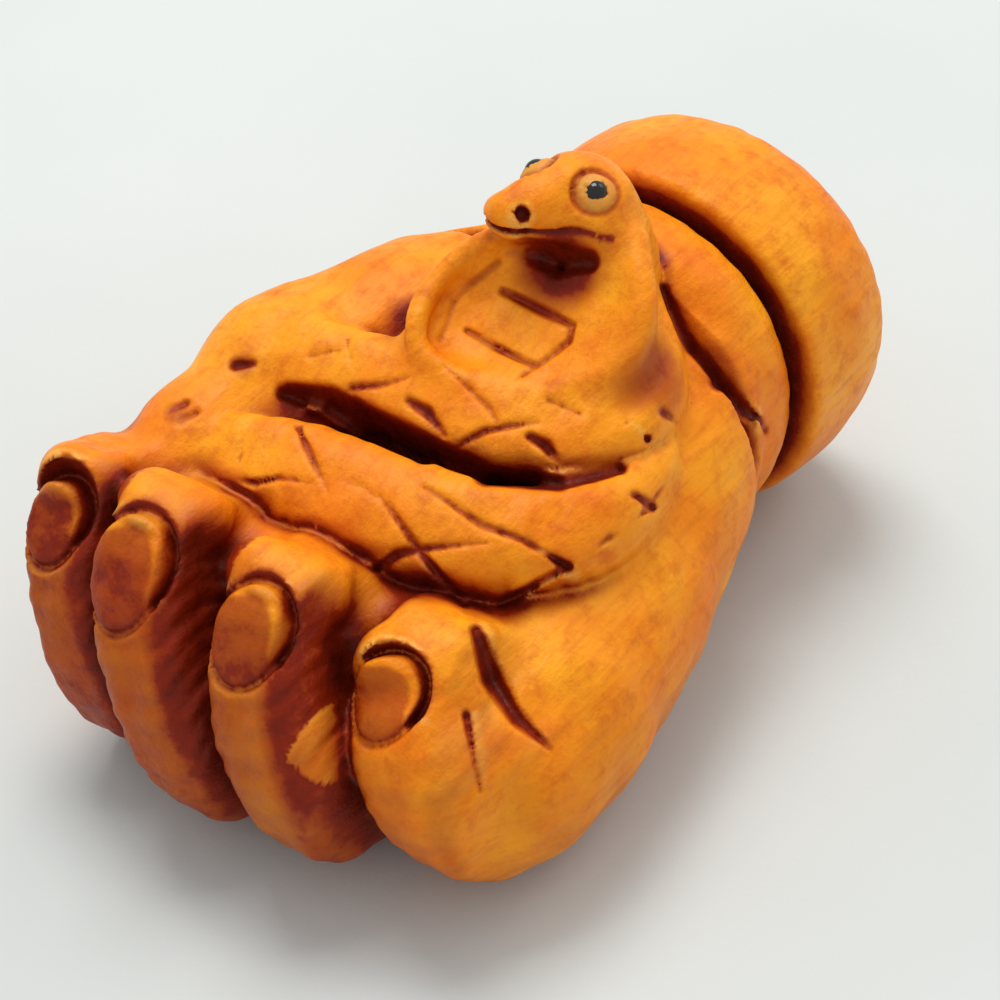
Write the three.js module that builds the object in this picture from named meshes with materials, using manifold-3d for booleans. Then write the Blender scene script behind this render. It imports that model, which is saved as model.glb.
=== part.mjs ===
// A boxwood netsuke: a right hand, palm up with the fingers curled, holds a coiled cobra that rears its hood.
// Millimetres, +Z up. +Y runs from the fingertips to the cuff, +X points to the little finger's side.
// The origin is the middle of the underside's box. The whole carving is one solid, worked out as a distance field:
// each form gives the distance to its surface, and neighbouring forms are joined with a small carved fillet.

import * as THREE from "three";
import { surfaceNet } from "three/addons/libs/surfaceNet.js";
import { MeshoptSimplifier } from "three/addons/libs/meshopt_simplifier.module.js";
import { mergeVertices } from "three/addons/utils/BufferGeometryUtils.js";
import Module from "manifold-3d";

// Where the underside's middle lies in the carving's own coordinates, which start at the wrist's axis
const ORIGIN = { x: -1.05, y: -0.73 };

// Palm: stations from the knuckles to the wrist, and the rims of flesh that run along it
const PALM = {
  y: [-20, -15, -8, 0, 6, 11],
  middle: [-2.0, -2.0, -1.8, -1.6, -0.9, 0],
  halfWidth: [13.2, 14.2, 14.2, 13.3, 11.6, 10.2],
  under: [2.6, 0.6, -0.4, -0.3, 0.4, 1.2],
  top: [12.0, 12.3, 12.8, 14, 17.6, 21.6],
  squareness: 2.5,
  endRound: 6,
};
const LITTLE_RIM = [
  [9.6, -15.6, 6.8, 6.0],
  [9.4, -11, 7.8, 5.8],
  [8.2, -4, 8.8, 5.7],
  [5.5, 3, 11.0, 6.5],
  [2.8, 9, 13.2, 7.7],
];
const THUMB_RIM = [
  [-12.0, -16, 10.6, 4.4],
  [-12.4, -10, 11.8, 4.9],
  [-11.6, -3, 13.4, 6.2],
  [-8.4, 4, 13.2, 7.0],
  [-3.8, 9, 13.0, 7.9],
];
const THUMB_BALL = [
  [-13.2, -17.2, 14.0, 2.8],
  [-13.6, -12, 15.0, 3.3],
  [-13.3, -5, 16.2, 3.9],
  [-9.6, 2, 16.0, 4.6],
  [-4.8, 8, 15.2, 4.7],
];
const TIP_RIDGE = [
  [-9.5, -16.2, 13.6, 2.6],
  [-2.0, -16.4, 13.2, 3.0],
  [5.0, -15.0, 11.6, 3.2],
];
const RIM_FILLET = 4;
const BALL_FILLET = 1.5;
const RIM_BENDS = 3;
const BALL_BENDS = 2;

// Fingers: x and z of the knuckle that each bends round, where its tip is, half its width, its height and how far
// forward it lies
const FINGERS = [
  { knuckle: [-11.4, 6.5], tipX: -15.4, halfWidth: 2.3, height: 17.6, forward: -0.5 },
  { knuckle: [-3.9, 6.6], tipX: -8.6, halfWidth: 2.6, height: 18.8, forward: -2.2 },
  { knuckle: [3.4, 7.5], tipX: -0.6, halfWidth: 2.55, height: 18.2, forward: -1.9 },
  { knuckle: [10.5, 8.2], tipX: 6.9, halfWidth: 2.9, height: 15.9, forward: 1.0 },
];
const FINGER_STEPS = 3;
const FINGER_SQUARENESS = 3.2;
const FINGER_GAP_FILLET = 0.9;
const FINGER_ROOT_FILLET = 1.2;

// Nails: centre, half width and half height of each, and the crescent trough that its free edge stands over
const NAILS = [
  { centre: [-15.4, -21.9, 15.6], halfWidth: 1.9, halfHeight: 2.6 },
  { centre: [-8.7, -23.4, 16.6], halfWidth: 2.5, halfHeight: 3.4 },
  { centre: [-0.6, -23.0, 16.3], halfWidth: 2.3, halfHeight: 2.9 },
  { centre: [6.7, -20.7, 14.1], halfWidth: 2.1, halfHeight: 2.4 },
];
const NAIL = { lean: 20, side: 60, crown: 0.5, plate: 1.8, edge: 0.2, room: 6 };
const NAIL_TROUGH = { wide: 1.5, deep: 1.6 };

// Wrist band and cuff: stations along the wrist, half width, underside and top
const BAND = {
  y: [8.0, 9.4, 12, 14.6],
  middle: [0, 0, 0, 0],
  halfWidth: [9.0, 10.3, 11.0, 10.2],
  under: [2.6, 1.0, 0.7, 1.4],
  top: [21.2, 22.8, 23.2, 22.4],
  squareness: 2.1,
  startRound: 1.2,
  endRound: 0.8,
};
const CUFF = {
  y: [14.5, 16.4, 20, 23, 25.6],
  middle: [0, 0, 0, 0, 0],
  halfWidth: [11.7, 11.9, 12.0, 11.5, 10.2],
  under: [0.4, -0.2, -0.4, 0.3, 1.6],
  top: [23.7, 24.0, 23.9, 23.1, 21.6],
  squareness: 2.05,
  startRound: 0.5,
  endRound: 3.2,
};
const BAND_FILLET = 0.3;
const CUFF_FILLET = 0.15;
const HEEL_CREASE = { y: 8.2, wide: 0.9, deep: 1.0, from: 9, fade: 4 };
const CUFF_GROOVE = { y: 14.5, wide: 0.7, deep: 0.7 };

// Cobra: its route from the tail tip to the back of the head, with the radius at each bend
const COBRA = [
  [-15.6, -14.2, 14.6, 0.8],
  [-12.4, -12.9, 15.6, 1.9],
  [-7.4, -11.7, 16.0, 2.9],
  [-1.8, -11.2, 15.7, 3.4],
  [3.4, -9.9, 15.5, 3.6],
  [7.4, -6.8, 15.6, 3.2],
  [9.0, -3.0, 15.7, 2.6],
  [8.2, 0.8, 15.7, 2.4],
  [4.0, 4.4, 16.0, 2.4],
  [-3, 4.6, 16.6, 2.4],
  [-9.0, 1.0, 17.4, 2.6],
  [-13.0, -2.6, 17.6, 2.6],
  [-10.8, -5.2, 18.0, 2.7],
  [-5.0, -4.7, 18.2, 2.9],
  [0.4, -4.0, 18.0, 3.0],
  [4.4, -2.2, 17.9, 2.9],
  [6.6, 0.4, 18.1, 2.7],
  [6.9, 2.6, 18.4, 2.5],
  [5.6, 4.8, 18.8, 2.4],
  [3.6, 6.2, 19.8, 2.5],
  [2.2, 6.8, 21.6, 2.6],
  [1.5, 6.8, 24, 2.8],
  [0.7, 6.7, 26.0, 2.6],
];
const COBRA_STEPS = 4;

// The wood left standing inside the coils
const COIL_CORE = [
  [-7.5, 0.5, 14.0, 4.6],
  [-2.0, 1.5, 14.6, 5.0],
  [4.0, 1.8, 14.6, 4.8],
];

// Hood: a dish sunk between two rims, from its front lip up to the throat; each row is left rim, floor, right rim
const HOOD = [
  [-1.4, -4.0, 20.6, 0.6, -3.0, 19.8, 3.6, -1.7, 20.2],
  [-3.3, -3.9, 21.7, 0.6, -1.5, 20.2, 5.0, -0.5, 20.7],
  [-4.2, -2.8, 22.6, 0.6, -0.2, 20.7, 6.0, 0.5, 21.3],
  [-4.7, -0.8, 23.3, 0.6, 1.3, 21.4, 6.5, 1.5, 22.1],
  [-4.4, 0.7, 24.0, 0.6, 2.8, 22.1, 6.3, 2.7, 23.0],
  [-3.8, 2.0, 24.7, 0.5, 4.4, 23.0, 6.0, 3.8, 24.0],
  [-3.0, 3.0, 25.3, 0.3, 6.0, 24.2, 5.2, 4.9, 25.1],
  [-2.1, 4.0, 25.7, 0.3, 6.6, 25.3, 3.6, 6.4, 25.9],
];
const HOOD_STEPS = 2;
const HOOD_SKIN = { radius: 0.8, leftRim: 0.95, rightRim: 0.75, fillet: 0.4, rimFillet: 0.4, sunk: 1.0 };
const HOOD_FLOOR = { left: { share: 0.35, rise: -0.1 }, right: { share: 0.5, rise: 0.6 }, foot: 15 };

// Head: in a frame of its own, turned a little towards the thumb
const HEAD = { centre: [-0.8, 5.9, 27.5], turn: -24 };
const SKULL = { centre: [0, 0.7, 0], radii: [2.75, 3.2, 2.1] };
const SNOUT = [
  [0, 0, 0, 2.1],
  [0, -3.5, -0.2, 1.4],
];
const JAW = [
  [0, 1.5, -1.5, 1.9],
  [0, -2.6, -1.45, 1.1],
];
const SNOUT_FILLET = 1.2;
const MOUTH_FILLET = 0.2;
const NECK_FILLET = 1.0;
const HOOD_FILLET = 0.8;
const COIL_FILLET = 0.9;

// Eyes: black inlaid beads, each in a drilled socket, with their places in the head's frame
const EYE = { radius: 0.75, gap: 0.3 };
const EYE_PLACES = { near_eye: [2.05, 0.9, 1.3], far_eye: [-1.8, -0.8, 1.35] };

// Cord holes: two openings under the palm, joined by a curved tunnel
const CORD_HOLES = { radius: 1.6, spread: 8, depth: 2.6, middle: [-1.5, -2], sides: 16, steps: 12 };

// How finely the carving is worked
const GRID = 0.5;
const BLOCK = 3;
const BLOCK_REACH = 1.6;
const BOUNDS = { low: [-21.5, -28, -2.5], high: [17, 27.5, 31.5] };
const CARVING_TRIANGLES = 8300;
const PINCH_SHARE = 0.15;
const BALL_DETAIL = 2;
const TABLE_SIZE = 100;

const degrees = Math.PI / 180;
const REACH = 7;
const FAR = 50;

// Smallest of two distances with a fillet of width k where they meet, and the largest
function joined(a, b, k) {
  const h = Math.max(k - Math.abs(a - b), 0) / k;
  return Math.min(a, b) - h * h * k * 0.25;
}

function trimmed(a, b, k) {
  return -joined(-a, -b, k);
}

function clamp01(t) {
  return Math.min(Math.max(t, 0), 1);
}

function length(x, y, z) {
  return Math.sqrt(x * x + y * y + z * z);
}

// The box round a form's points, with room for its thickness and fillets. Outside it the form isn't worked out.
function boxRound(points, room) {
  const low = [0, 1, 2].map((i) => Math.min(...points.map((p) => p[i])) - room);
  const high = [0, 1, 2].map((i) => Math.max(...points.map((p) => p[i])) + room);
  return { low, high };
}

function isOutside(x, y, z, { low, high }) {
  return x < low[0] || y < low[1] || z < low[2] || x > high[0] || y > high[1] || z > high[2];
}

// Distance to a round bar from p to q, whose ends are rows of x, y, z, radius
function bar(x, y, z, p, q) {
  const dx = q[0] - p[0];
  const dy = q[1] - p[1];
  const dz = q[2] - p[2];
  const along = (x - p[0]) * dx + (y - p[1]) * dy + (z - p[2]) * dz;
  const t = clamp01(along / (dx * dx + dy * dy + dz * dz));
  return length(x - p[0] - t * dx, y - p[1] - t * dy, z - p[2] - t * dz) - p[3] - (q[3] - p[3]) * t;
}

function chain(x, y, z, rows, fillet) {
  let d = bar(x, y, z, rows[0], rows[1]);
  for (let i = 1; i < rows.length - 1; i++) {
    const next = bar(x, y, z, rows[i], rows[i + 1]);
    d = fillet > 0 ? joined(d, next, fillet) : Math.min(d, next);
  }
  return d;
}

// A smooth curve through rows of numbers, with steps points on each span
function smoothRows(rows, steps) {
  const mirror = (a, b) => a.map((v, i) => 2 * v - b[i]);
  const ends = [mirror(rows[0], rows[1]), ...rows, mirror(rows.at(-1), rows.at(-2))];
  const out = [];
  for (let i = 1; i < ends.length - 2; i++) {
    const [a, b, c, d] = ends.slice(i - 1, i + 3);
    for (let s = 0; s < steps; s++) {
      const t = s / steps;
      out.push(
        b.map(
          (v, k) =>
            0.5 *
            (2 * v +
              (c[k] - a[k]) * t +
              (2 * a[k] - 5 * v + 4 * c[k] - d[k]) * t * t +
              (3 * v - a[k] - 3 * c[k] + d[k]) * t * t * t),
        ),
      );
    }
  }
  out.push(rows.at(-1));
  return out;
}

// A value between stations, smooth through each of them
function between(y, stations, values) {
  const n = stations.length;
  const at = Math.min(Math.max(y, stations[0]), stations[n - 1]);
  let i = 0;
  while (i < n - 2 && at > stations[i + 1]) i++;
  const slope = (k) => {
    if (k === 0) return (values[1] - values[0]) / (stations[1] - stations[0]);
    if (k === n - 1) return (values[k] - values[k - 1]) / (stations[k] - stations[k - 1]);
    const before = stations[k] - stations[k - 1];
    const after = stations[k + 1] - stations[k];
    const low = (values[k] - values[k - 1]) / before;
    const high = (values[k + 1] - values[k]) / after;
    return (low * after + high * before) / (before + after);
  };
  const h = stations[i + 1] - stations[i];
  const t = (at - stations[i]) / h;
  const t2 = t * t;
  const t3 = t2 * t;
  return (
    (2 * t3 - 3 * t2 + 1) * values[i] +
    (t3 - 2 * t2 + t) * h * slope(i) +
    (3 * t2 - 2 * t3) * values[i + 1] +
    (t3 - t2) * h * slope(i + 1)
  );
}

// A body whose rounded-square section changes from station to station along y
function lofted(x, y, z, form) {
  const halfWidth = between(y, form.y, form.halfWidth);
  const under = between(y, form.y, form.under);
  const top = between(y, form.y, form.top);
  const halfHeight = (top - under) / 2;
  const across = Math.abs(x - between(y, form.y, form.middle)) / halfWidth;
  const upward = Math.abs(z - (top + under) / 2) / halfHeight;
  const n = form.squareness;
  const side = ((across ** n + upward ** n) ** (1 / n) - 1) * Math.min(halfWidth, halfHeight);
  const start = trimmed(side, form.y[0] - y, form.startRound ?? form.endRound);
  return trimmed(start, y - form.y.at(-1), form.endRound);
}

// A finger's bends in the yz plane: y, z, x, thickness, share of the half width
function fingerBends(finger) {
  const { knuckle, tipX, height, forward } = finger;
  const [knuckleX, knuckleZ] = knuckle;
  const bends = [
    [-12, 6.4, knuckleX, 4.6, 1.1],
    [-17.5, knuckleZ - 1.9, knuckleX, 4.6, 1.05],
    [-20.6, knuckleZ, knuckleX, 4.1, 1.0],
    [-20.8, 10.6, (knuckleX + tipX) / 2, 3.6, 1.0],
    [-19.4, height - 3.7, tipX + 0.2, 3.1, 0.98],
    [-18.6, height - 1.8, tipX, 2.1, 0.94],
    [-16.9, height - 2.3, tipX, 2.6, 0.92],
    [-13, height - 6.5, tipX, 2.8, 0.9],
  ];
  return smoothRows(
    bends.map(([y, z, x, thick, share]) => [y + forward, z, x, thick, share]),
    FINGER_STEPS,
  );
}

const fingers = FINGERS.map((finger) => {
  const bends = fingerBends(finger);
  const places = bends.map(([y, z, x]) => [x, y, z]);
  return { ...finger, bends, box: boxRound(places, REACH) };
});

function fingerDistance(x, y, z, finger) {
  if (isOutside(x, y, z, finger.box)) return FAR;
  const n = FINGER_SQUARENESS;
  let d = Infinity;
  for (let i = 0; i < finger.bends.length - 1; i++) {
    const a = finger.bends[i];
    const b = finger.bends[i + 1];
    const dy = b[0] - a[0];
    const dz = b[1] - a[1];
    const t = clamp01(((y - a[0]) * dy + (z - a[1]) * dz) / (dy * dy + dz * dz));
    const thick = a[3] + (b[3] - a[3]) * t;
    const wide = finger.halfWidth * (a[4] + (b[4] - a[4]) * t);
    const off = length(0, y - a[0] - t * dy, z - a[1] - t * dz) / thick;
    const across = Math.abs(x - a[2] - t * (b[2] - a[2])) / wide;
    const size = (off ** n + across ** n) ** (1 / n) - 1;
    d = Math.min(d, size * Math.min(thick, wide));
  }
  return d;
}

// The finger with a crescent trough cut over the nail's free edge, and the nail's plate
function withNail(x, y, z, d, nail) {
  const across = x - nail.centre[0];
  const dy = y - nail.centre[1];
  const dz = z - nail.centre[2];
  if (Math.max(Math.abs(across), Math.abs(dy), Math.abs(dz)) > NAIL.room) return d;
  const lean = NAIL.lean * degrees;
  const up = dy * Math.sin(lean) + dz * Math.cos(lean);
  const out = dz * Math.sin(lean) - dy * Math.cos(lean);
  const size = Math.min(nail.halfWidth, nail.halfHeight);
  const edge = (length(0, across / nail.halfWidth, up / nail.halfHeight) - 1) * size;
  const share = clamp01(Math.cos(Math.atan2(up, across) - NAIL.side * degrees));
  const wide = NAIL_TROUGH.wide * share ** 1.5;
  const floor = wide > 0 ? -NAIL_TROUGH.deep * share * clamp01(1 - edge / wide) : 0;
  const trough = Math.max(-edge, edge - wide, floor - out);
  const crown = out + NAIL.crown * (across / nail.halfWidth) ** 2 - NAIL.crown / 2;
  const plate = trimmed(edge, Math.max(crown, -crown - NAIL.plate), NAIL.edge);
  return Math.min(Math.max(d, -trough), plate);
}

// A bar with all the wood below it, down to a level inside the palm
function wall(x, y, z, p, q, radius) {
  const dx = q[0] - p[0];
  const dy = q[1] - p[1];
  const t = clamp01(((x - p[0]) * dx + (y - p[1]) * dy) / (dx * dx + dy * dy));
  const above = Math.max(z - p[2] - t * (q[2] - p[2]), 0);
  const d = length(x - p[0] - t * dx, y - p[1] - t * dy, above) - radius;
  return Math.max(d, HOOD_FLOOR.foot - z);
}

// Where the dish's floor starts, between a rim and its middle
function footOf(rim, floor, { share, rise }) {
  return [
    rim[0] + (floor[0] - rim[0]) * share,
    rim[1] + (floor[1] - rim[1]) * share,
    floor[2] + rise * (rim[2] - floor[2]),
  ];
}

const hoodRows = smoothRows(HOOD, HOOD_STEPS).map((row) => {
  const left = row.slice(0, 3);
  const floor = row.slice(3, 6);
  const right = row.slice(6);
  const sunk = [left[0], left[1], left[2] - HOOD_SKIN.sunk];
  return [left, sunk, footOf(left, floor, HOOD_FLOOR.left), footOf(right, floor, HOOD_FLOOR.right), right];
});

const hoodBox = boxRound(hoodRows.flat(), REACH);
hoodBox.low[2] = HOOD_FLOOR.foot - 1;

function hoodDistance(x, y, z) {
  if (isOutside(x, y, z, hoodBox)) return FAR;
  let skin = Infinity;
  for (const row of hoodRows) {
    for (let i = 1; i < row.length - 1; i++) {
      const strip = wall(x, y, z, row[i], row[i + 1], HOOD_SKIN.radius);
      skin = skin === Infinity ? strip : joined(skin, strip, HOOD_SKIN.fillet);
    }
  }
  let rim = Infinity;
  for (let i = 0; i < hoodRows.length - 1; i++) {
    const here = hoodRows[i];
    const next = hoodRows[i + 1];
    rim = Math.min(rim, wall(x, y, z, here[0], next[0], HOOD_SKIN.leftRim));
    rim = Math.min(rim, wall(x, y, z, here.at(-1), next.at(-1), HOOD_SKIN.rightRim));
  }
  return joined(skin, rim, HOOD_SKIN.rimFillet);
}

// Points in the head's own frame, where -y is forward
function toHead(x, y, z) {
  const turn = HEAD.turn * degrees;
  const dx = x - HEAD.centre[0];
  const dy = y - HEAD.centre[1];
  const c = Math.cos(turn);
  const s = Math.sin(turn);
  return [dx * c + dy * s, dy * c - dx * s, z - HEAD.centre[2]];
}

function fromHead(u, v, w) {
  const turn = HEAD.turn * degrees;
  const c = Math.cos(turn);
  const s = Math.sin(turn);
  return [HEAD.centre[0] + u * c - v * s, HEAD.centre[1] + u * s + v * c, HEAD.centre[2] + w];
}

function egg(x, y, z, centre, radii) {
  const u = (x - centre[0]) / radii[0];
  const v = (y - centre[1]) / radii[1];
  const w = (z - centre[2]) / radii[2];
  const size = length(u, v, w);
  return (size * (size - 1)) / Math.max(length(u / radii[0], v / radii[1], w / radii[2]), 1e-6);
}

const headBox = boxRound([HEAD.centre], REACH + SKULL.radii[1]);

function headDistance(x, y, z) {
  if (isOutside(x, y, z, headBox)) return FAR;
  const [u, v, w] = toHead(x, y, z);
  const skull = egg(u, v, w, SKULL.centre, SKULL.radii);
  const upper = joined(skull, chain(u, v, w, SNOUT, 0), SNOUT_FILLET);
  return joined(upper, chain(u, v, w, JAW, 0), MOUTH_FILLET);
}

const cobraRoute = smoothRows(COBRA, COBRA_STEPS);
const cobraBox = boxRound(cobraRoute, REACH);

function cobraDistance(x, y, z) {
  if (isOutside(x, y, z, cobraBox)) return FAR;
  const raised = joined(hoodDistance(x, y, z), headDistance(x, y, z), HOOD_FILLET);
  return joined(chain(x, y, z, cobraRoute, 0), raised, NECK_FILLET);
}

function handDistance(x, y, z) {
  let d = lofted(x, y, z, PALM);
  d = joined(d, chain(x, y, z, LITTLE_RIM, RIM_BENDS), RIM_FILLET);
  d = joined(d, chain(x, y, z, THUMB_RIM, RIM_BENDS), RIM_FILLET);
  d = joined(d, chain(x, y, z, THUMB_BALL, BALL_BENDS), BALL_FILLET);
  d = joined(d, chain(x, y, z, TIP_RIDGE, BALL_BENDS), BALL_FILLET);
  d = joined(d, chain(x, y, z, COIL_CORE, BALL_BENDS), BALL_FILLET);
  let curled = Infinity;
  for (const finger of fingers) {
    const next = fingerDistance(x, y, z, finger);
    curled = curled === Infinity ? next : joined(curled, next, FINGER_GAP_FILLET);
  }
  d = joined(d, curled, FINGER_ROOT_FILLET);
  for (const nail of NAILS) d = withNail(x, y, z, d, nail);
  d = joined(d, lofted(x, y, z, BAND), BAND_FILLET);
  const crease = clamp01(1 - Math.abs(y - HEEL_CREASE.y) / HEEL_CREASE.wide);
  d += HEEL_CREASE.deep * crease * clamp01((z - HEEL_CREASE.from) / HEEL_CREASE.fade);
  d = joined(d, lofted(x, y, z, CUFF), CUFF_FILLET);
  return d + CUFF_GROOVE.deep * clamp01(1 - Math.abs(y - CUFF_GROOVE.y) / CUFF_GROOVE.wide);
}

function carvingDistance(x, y, z) {
  return joined(handDistance(x, y, z), cobraDistance(x, y, z), COIL_FILLET);
}

const wasm = await Module();
wasm.setup();
await MeshoptSimplifier.ready;

function solidFrom(positions, triangles) {
  const mesh = new wasm.Mesh({ numProp: 3, vertProperties: positions, triVerts: triangles });
  return new wasm.Manifold(mesh);
}

function solidOf(geometry) {
  const bare = geometry.index ? geometry.toNonIndexed() : geometry.clone();
  bare.deleteAttribute("normal");
  bare.deleteAttribute("uv");
  const merged = mergeVertices(bare, 1e-4);
  return solidFrom(merged.attributes.position.array, new Uint32Array(merged.index.array));
}

// A solid without the pinholes that the grid can leave shut in between two coils
function withoutPinholes(solid) {
  const shells = solid.decompose();
  return shells.reduce((largest, shell) => (shell.volume() > largest.volume() ? shell : largest));
}

// A solid whose walls don't touch along an edge: where two corners share one place, as at the bottom of a
// narrow groove, each moves a hair towards its own neighbours
function withoutPinches(solid) {
  const mesh = solid.getMesh();
  const places = mesh.vertProperties;
  const triangles = mesh.triVerts;
  const count = places.length / 3;
  const shared = new Map();
  for (let i = 0; i < count; i++) {
    const name = Array.from(places.slice(3 * i, 3 * i + 3), (v) => v.toFixed(3)).join();
    shared.set(name, [...(shared.get(name) ?? []), i]);
  }
  const pinched = new Set([...shared.values()].filter((group) => group.length > 1).flat());
  const sums = new Map([...pinched].map((i) => [i, [0, 0, 0, 0]]));
  for (let f = 0; f < triangles.length; f += 3) {
    const corners = triangles.slice(f, f + 3);
    for (const corner of corners) {
      if (!pinched.has(corner)) continue;
      const sum = sums.get(corner);
      for (const other of corners) {
        if (pinched.has(other)) continue;
        for (let k = 0; k < 3; k++) sum[k] += places[3 * other + k];
        sum[3] += 1;
      }
    }
  }
  for (const [i, sum] of sums) {
    if (sum[3] === 0) continue;
    for (let k = 0; k < 3; k++) places[3 * i + k] += PINCH_SHARE * (sum[k] / sum[3] - places[3 * i + k]);
  }
  return solidFrom(places, triangles);
}

function geometryOf(solid) {
  const mesh = solid.getMesh();
  const geometry = new THREE.BufferGeometry();
  geometry.setAttribute("position", new THREE.BufferAttribute(mesh.vertProperties.slice(), 3));
  geometry.setIndex(new THREE.BufferAttribute(mesh.triVerts.slice(), 1));
  return geometry;
}

// The distance field on the grid, worked out once a point and only near the surface: a block of points
// far from it takes the distance at the block's middle
function griddedField(distance, low, dims) {
  const known = new Float32Array((dims[0] + 2) * (dims[1] + 2) * (dims[2] + 2)).fill(NaN);
  const middles = new Map();
  const side = BLOCK * GRID;
  return (x, y, z) => {
    const i = Math.round((x - low[0]) / GRID);
    const j = Math.round((y - low[1]) / GRID);
    const k = Math.round((z - low[2]) / GRID);
    const at = (i * (dims[1] + 2) + j) * (dims[2] + 2) + k;
    if (Number.isNaN(known[at])) {
      const block = [x, y, z].map((v) => Math.floor(v / side));
      const name = block.join();
      if (!middles.has(name)) middles.set(name, distance(...block.map((v) => (v + 0.5) * side)));
      const middle = middles.get(name);
      known[at] = Math.abs(middle) > side * BLOCK_REACH ? middle : distance(x, y, z);
    }
    return known[at];
  };
}

// The carving's surface as a closed solid with few faces, moved to the part's own origin
function carvedBlock() {
  const { low, high } = BOUNDS;
  const dims = low.map((v, i) => Math.round((high[i] - v) / GRID));
  const net = surfaceNet(dims, griddedField(carvingDistance, low, dims), [low, high]);
  const positions = new Float32Array(net.positions.flat());
  const indices = new Uint32Array(net.cells.flat());
  const [thinned] = MeshoptSimplifier.simplify(indices, positions, 3, CARVING_TRIANGLES * 3, 1);
  const surface = new THREE.BufferGeometry();
  surface.setAttribute("position", new THREE.BufferAttribute(positions, 3));
  surface.setIndex(new THREE.BufferAttribute(thinned, 1));
  const solid = solidOf(surface.translate(-ORIGIN.x, -ORIGIN.y, 0));
  return withoutPinches(withoutPinholes(solid));
}

// What lies below the flat that the netsuke stands on
function tableCut() {
  const block = new THREE.BoxGeometry(TABLE_SIZE, TABLE_SIZE, TABLE_SIZE);
  return solidOf(block.translate(0, 0, -TABLE_SIZE / 2));
}

// The tunnel for the cord, an arc that dips into the palm's back from one opening to the other
function cordTunnel() {
  const { radius, spread, depth, middle } = CORD_HOLES;
  const run = new THREE.QuadraticBezierCurve3(
    new THREE.Vector3(0, -spread / 2, -radius),
    new THREE.Vector3(0, 0, 2 * depth),
    new THREE.Vector3(0, spread / 2, -radius),
  );
  const section = new THREE.Shape().absarc(0, 0, radius, 0, 2 * Math.PI);
  const options = { steps: CORD_HOLES.steps, curveSegments: CORD_HOLES.sides / 2, extrudePath: run };
  const tunnel = new THREE.ExtrudeGeometry(section, options);
  return solidOf(tunnel.translate(middle[0] - ORIGIN.x, middle[1] - ORIGIN.y, 0));
}

function eyeCentre(place) {
  const [x, y, z] = fromHead(...place);
  return new THREE.Vector3(x - ORIGIN.x, y - ORIGIN.y, z);
}

function ballAt(centre, radius) {
  return new THREE.IcosahedronGeometry(radius, BALL_DETAIL).translate(centre.x, centre.y, centre.z);
}

// Boxwood stained orange brown, and the black of the inlaid eyes
const boxwood = new THREE.MeshStandardMaterial({ color: 0xd9862e, roughness: 0.42, metalness: 0 });
const eyeBlack = new THREE.MeshStandardMaterial({ color: 0x0a0807, roughness: 0.12, metalness: 0 });

function named(name, geometry, material) {
  const mesh = new THREE.Mesh(geometry, material);
  mesh.name = name;
  return mesh;
}

let carving = carvedBlock().subtract(tableCut()).subtract(cordTunnel());
for (const place of Object.values(EYE_PLACES)) {
  carving = carving.subtract(solidOf(ballAt(eyeCentre(place), EYE.radius + EYE.gap)));
}

const netsuke = new THREE.Group();
netsuke.add(named("carving", geometryOf(carving), boxwood));
for (const [name, place] of Object.entries(EYE_PLACES)) {
  netsuke.add(named(name, ballAt(eyeCentre(place), EYE.radius), eyeBlack));
}

export default netsuke;
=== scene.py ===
# %% [markdown]
# # A boxwood netsuke: a hand that holds a cobra
# This lesson carves a netsuke in Blender, the way its carver did: a block is roughed out, the forms are
# rounded into each other, and then the fine cuts are made and stained. The solids that it starts from have
# the true sizes, so every form here repeats their named sizes, in millimetres, and adds what is too fine for
# them. The whole carving is one distance field: a function that gives each point in space its distance to
# the wood's surface, which is below zero inside the wood.

import math
from itertools import product

import bpy
import numpy as np
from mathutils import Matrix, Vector


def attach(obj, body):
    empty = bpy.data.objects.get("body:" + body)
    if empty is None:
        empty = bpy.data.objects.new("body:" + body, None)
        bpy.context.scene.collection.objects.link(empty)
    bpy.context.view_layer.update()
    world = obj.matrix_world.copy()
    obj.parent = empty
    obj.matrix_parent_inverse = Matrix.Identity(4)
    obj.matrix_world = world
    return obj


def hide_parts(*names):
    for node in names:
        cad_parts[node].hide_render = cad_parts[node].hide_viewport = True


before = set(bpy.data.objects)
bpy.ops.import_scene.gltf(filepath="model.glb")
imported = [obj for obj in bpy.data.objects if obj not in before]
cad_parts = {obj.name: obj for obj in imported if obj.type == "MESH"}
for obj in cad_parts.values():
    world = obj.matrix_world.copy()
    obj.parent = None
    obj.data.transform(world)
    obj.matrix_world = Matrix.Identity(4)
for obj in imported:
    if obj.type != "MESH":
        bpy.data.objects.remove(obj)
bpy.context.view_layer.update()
print("solids:", sorted(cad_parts))

# %% [markdown]
# ## Sizes
# All sizes are in the carving's own coordinates: +Z is up, +Y runs from the fingertips to the cuff, and +X
# points to the little finger's side. ORIGIN is where the part's own origin lies in them.

# %% Sizes of the hand
MM = 0.001
ORIGIN = np.array([-1.05, -0.73, 0.0])

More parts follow.
